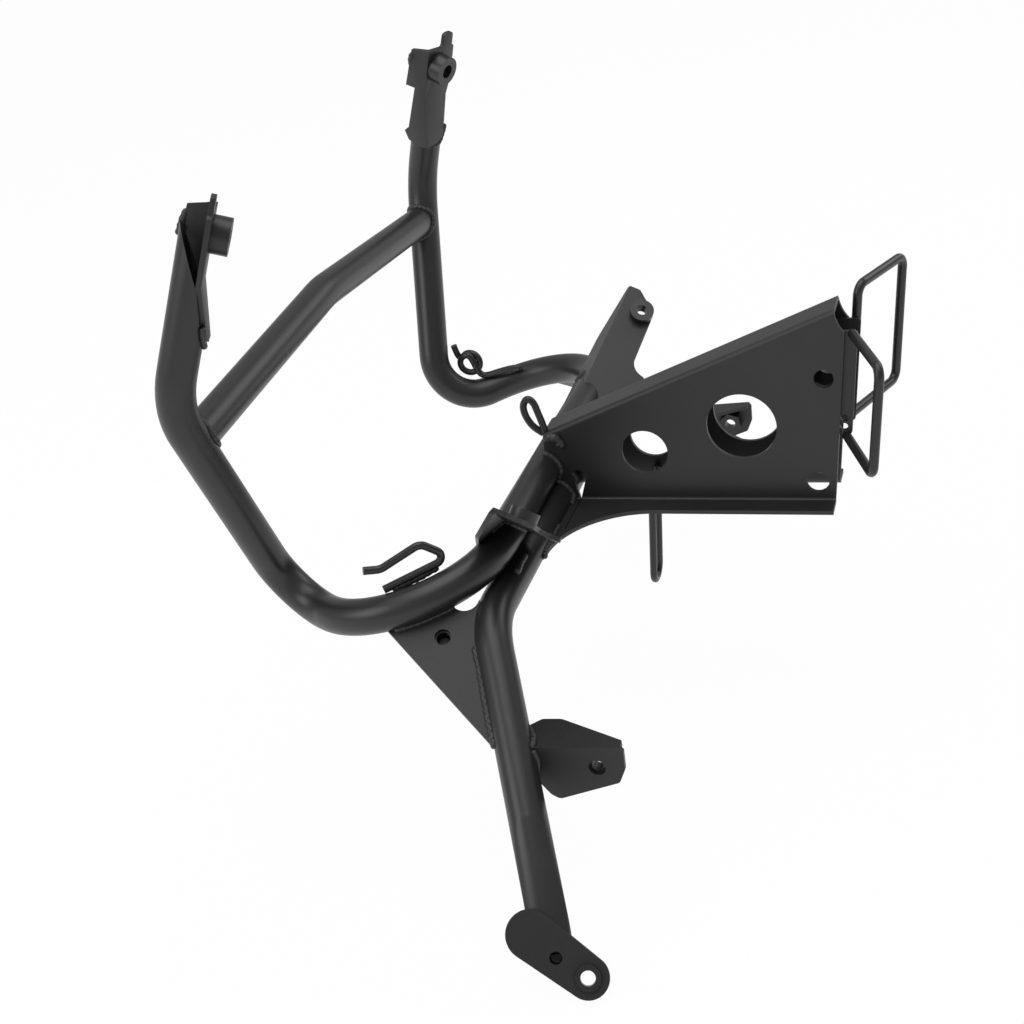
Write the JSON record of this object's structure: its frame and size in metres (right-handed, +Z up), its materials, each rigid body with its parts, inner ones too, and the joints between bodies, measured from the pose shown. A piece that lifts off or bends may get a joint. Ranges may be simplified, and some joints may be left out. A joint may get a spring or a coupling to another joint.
{
  "type": "motorcycle fairing stay",
  "caption": "Welded bent-tube fairing stay for a motorcycle, with a folded steering-head bracket, mirror bosses, gussets, feet and wire cable guides.",
  "frame": {"origin": "middle of the upper steering-head bolt, between the channel's sides", "axes": "+X to the rider's left along the bolt, +Y to the rear of the motorcycle, +Z up"},
  "size_m": [0.553, 0.3298, 0.3618],
  "materials": {
    "black_paint": "satin"
  },
  "bodies": {
    "root": {"front_loop_tube": "black_paint", "cross_brace_tube": "black_paint", "leg_tube": "black_paint", "head_bracket": "black_paint", "left_cable_guide": "black_paint", "right_cable_guide": "black_paint", "hairpin_guide": "black_paint", "ring_clip": "black_paint", "left_hook_clip": "black_paint", "right_pigtail_clip": "black_paint", "left_guide_strap": "black_paint", "right_guide_strap": "black_paint", "left_mirror_bracket": "black_paint", "right_mirror_bracket": "black_paint", "left_mirror_boss": "black_paint", "right_mirror_boss": "black_paint", "left_fairing_tab": "black_paint", "right_fairing_tab": "black_paint", "left_tab_boss": "black_paint", "right_tab_boss": "black_paint", "left_gusset": "black_paint", "right_gusset": "black_paint", "left_angle_bracket": "black_paint", "right_angle_bracket": "black_paint", "left_weld_nut": "black_paint", "right_weld_nut": "black_paint", "left_foot_plate": "black_paint", "right_foot_plate": "black_paint", "left_foot_collar": "black_paint", "right_foot_collar": "black_paint"}
  },
  "joints": []
}
